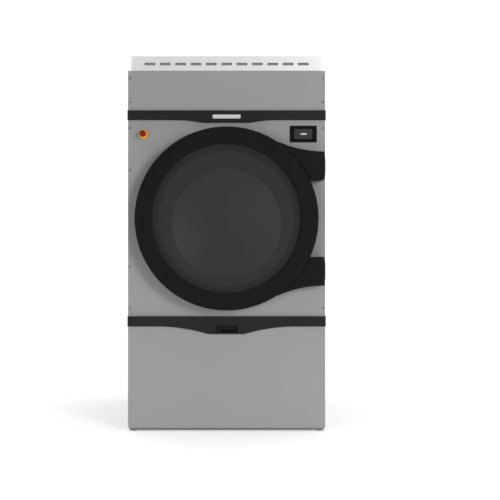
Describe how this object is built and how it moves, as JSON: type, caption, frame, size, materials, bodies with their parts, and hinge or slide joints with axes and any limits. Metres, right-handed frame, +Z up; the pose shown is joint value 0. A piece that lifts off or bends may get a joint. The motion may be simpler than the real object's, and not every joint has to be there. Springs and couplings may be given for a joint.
{
  "type": "industrial tumble dryer",
  "caption": "Tall grey laundry dryer with a round dark glass door in a black ring on two side hinges, black trim bands, touch display, stop button, lint drawer and slotted air intake.",
  "frame": {"origin": "on the floor, under the middle of the machine's bounding box", "axes": "+Z up, +X to the right of someone who faces the door, front towards -Y"},
  "size_m": [0.984, 1.21, 1.885],
  "materials": {
    "grey_paint": "matte powder coat",
    "zinc_sheet": "galvanised sheet",
    "black_trim": "fine satin",
    "badge": "satin",
    "display_plastic": "smooth",
    "display_glass": "smooth",
    "stop_red": "smooth",
    "stop_yellow": "smooth",
    "stop_body": "moulded",
    "smoked_glass": "smoked",
    "rubber": "matte",
    "stainless": "brushed",
    "bare_steel": "bright zinc",
    "cast_iron": "as cast, painted",
    "motor_grey": "hammer paint",
    "plinth_paint": "matte paint",
    "dark_metal": "black oxide"
  },
  "bodies": {
    "cabinet": {"air_deck": "zinc_sheet", "air_plenum": "zinc_sheet", "badge_plate": "badge", "base_frame": "plinth_paint", "bearing_housing": "cast_iron", "bearings": "bare_steel", "cable_gland": "stop_body", "control_tray": "zinc_sheet", "display_bezel": "display_plastic", "display_screen": "display_glass", "drive_belt": "rubber", "drive_motor": "motor_grey", "estop_collar": "stop_yellow", "estop_contact_block": "stop_body", "exhaust_collar": "zinc_sheet", "fan_housing": "zinc_sheet", "fan_motor": "motor_grey", "frame_posts": "zinc_sheet", "frame_rails": "zinc_sheet", "front_panel_main": "grey_paint", "front_panel_upper": "grey_paint", "heater_casing": "zinc_sheet", "heater_elements": "stainless", "hinge_brackets": "bare_steel", "intake_box": "zinc_sheet", "loading_ring": "stainless", "panel_screws": "dark_metal", "rear_panel_lower": "zinc_sheet", "rear_panel_upper": "zinc_sheet", "side_panels": "grey_paint", "top_panel": "zinc_sheet", "upper_trim_band": "black_trim"},
    "door": {"door_ring": "black_trim", "door_frame": "stainless", "door_glass": "smoked_glass", "glass_gasket": "rubber", "door_seal": "rubber", "hinge_covers": "black_trim", "hinge_arms": "bare_steel"},
    "drum": {"drum_shell": "stainless", "drum_back": "stainless", "drum_lifters": "stainless", "drum_spider": "cast_iron", "drum_pulley": "cast_iron"},
    "motor_rotor": {"motor_pulley": "bare_steel"},
    "fan_wheel": {"fan_impeller": "bare_steel"},
    "drawer": {"drawer_front": "grey_paint", "lower_trim_band": "black_trim", "drawer_box": "zinc_sheet", "lint_screen": "stainless", "drawer_slides": "zinc_sheet", "latch_bezel": "black_trim"},
    "paddle": {"latch_paddle": "black_trim"},
    "lock": {"lock_plug": "dark_metal"},
    "stop_stem": {"estop_stem": "stop_body"},
    "stop_head": {"estop_head": "stop_red"},
    "foot_front_left": {"foot_front_left": "rubber"},
    "foot_front_right": {"foot_front_right": "rubber"},
    "foot_rear_left": {"foot_rear_left": "rubber"},
    "foot_rear_right": {"foot_rear_right": "rubber"}
  },
  "joints": [
    {"name": "door_hinge", "type": "hinge", "parent": "cabinet", "child": "door", "pos_m": [0.481, -0.534, 1.053], "axis": [0, 0, 1], "range_deg": [0, 150]},
    {"name": "drum_spin", "type": "hinge", "parent": "cabinet", "child": "drum", "pos_m": [0, 0, 1.053], "axis": [0, 1, 0], "continuous": true},
    {"name": "motor_spin", "type": "hinge", "parent": "cabinet", "child": "motor_rotor", "pos_m": [0.31, 0.487, 0.47], "axis": [0, 1, 0], "continuous": true},
    {"name": "fan_spin", "type": "hinge", "parent": "cabinet", "child": "fan_wheel", "pos_m": [0, 0.292, 0.255], "axis": [1, 0, 0], "continuous": true},
    {"name": "drawer_slide", "type": "slide", "parent": "cabinet", "child": "drawer", "axis": [0, -1, 0], "range_m": [0, 0.48]},
    {"name": "paddle_pull", "type": "hinge", "parent": "drawer", "child": "paddle", "pos_m": [0.015, -0.529, 0.5173], "axis": [-1, 0, 0], "range_deg": [0, 35], "stiffness_Nm_per_rad": 0.1},
    {"name": "lock_turn", "type": "hinge", "parent": "drawer", "child": "lock", "pos_m": [-0.043, -0.52, 0.5057], "axis": [0, 1, 0], "range_deg": [0, 90]},
    {"name": "stop_press", "type": "slide", "parent": "cabinet", "child": "stop_stem", "axis": [0, 1, 0], "range_m": [0, 0.005], "stiffness_N_per_m": 1200},
    {"name": "stop_twist", "type": "hinge", "parent": "stop_stem", "child": "stop_head", "pos_m": [-0.414, -0.55, 1.475], "axis": [0, 1, 0], "range_deg": [0, 40], "stiffness_Nm_per_rad": 0.05},
    {"name": "foot_front_left_turn", "type": "hinge", "parent": "cabinet", "child": "foot_front_left", "pos_m": [-0.46, -0.491, 0.02], "axis": [0, 0, 1], "continuous": true},
    {"name": "foot_front_right_turn", "type": "hinge", "parent": "cabinet", "child": "foot_front_right", "pos_m": [0.46, -0.491, 0.02], "axis": [0, 0, 1], "continuous": true},
    {"name": "foot_rear_left_turn", "type": "hinge", "parent": "cabinet", "child": "foot_rear_left", "pos_m": [-0.46, 0.511, 0.02], "axis": [0, 0, 1], "continuous": true},
    {"name": "foot_rear_right_turn", "type": "hinge", "parent": "cabinet", "child": "foot_rear_right", "pos_m": [0.46, 0.511, 0.02], "axis": [0, 0, 1], "continuous": true}
  ],
  "couplings": [
    {"joint": "motor_spin", "follows": "drum_spin", "ratio": 13.85}
  ]
}
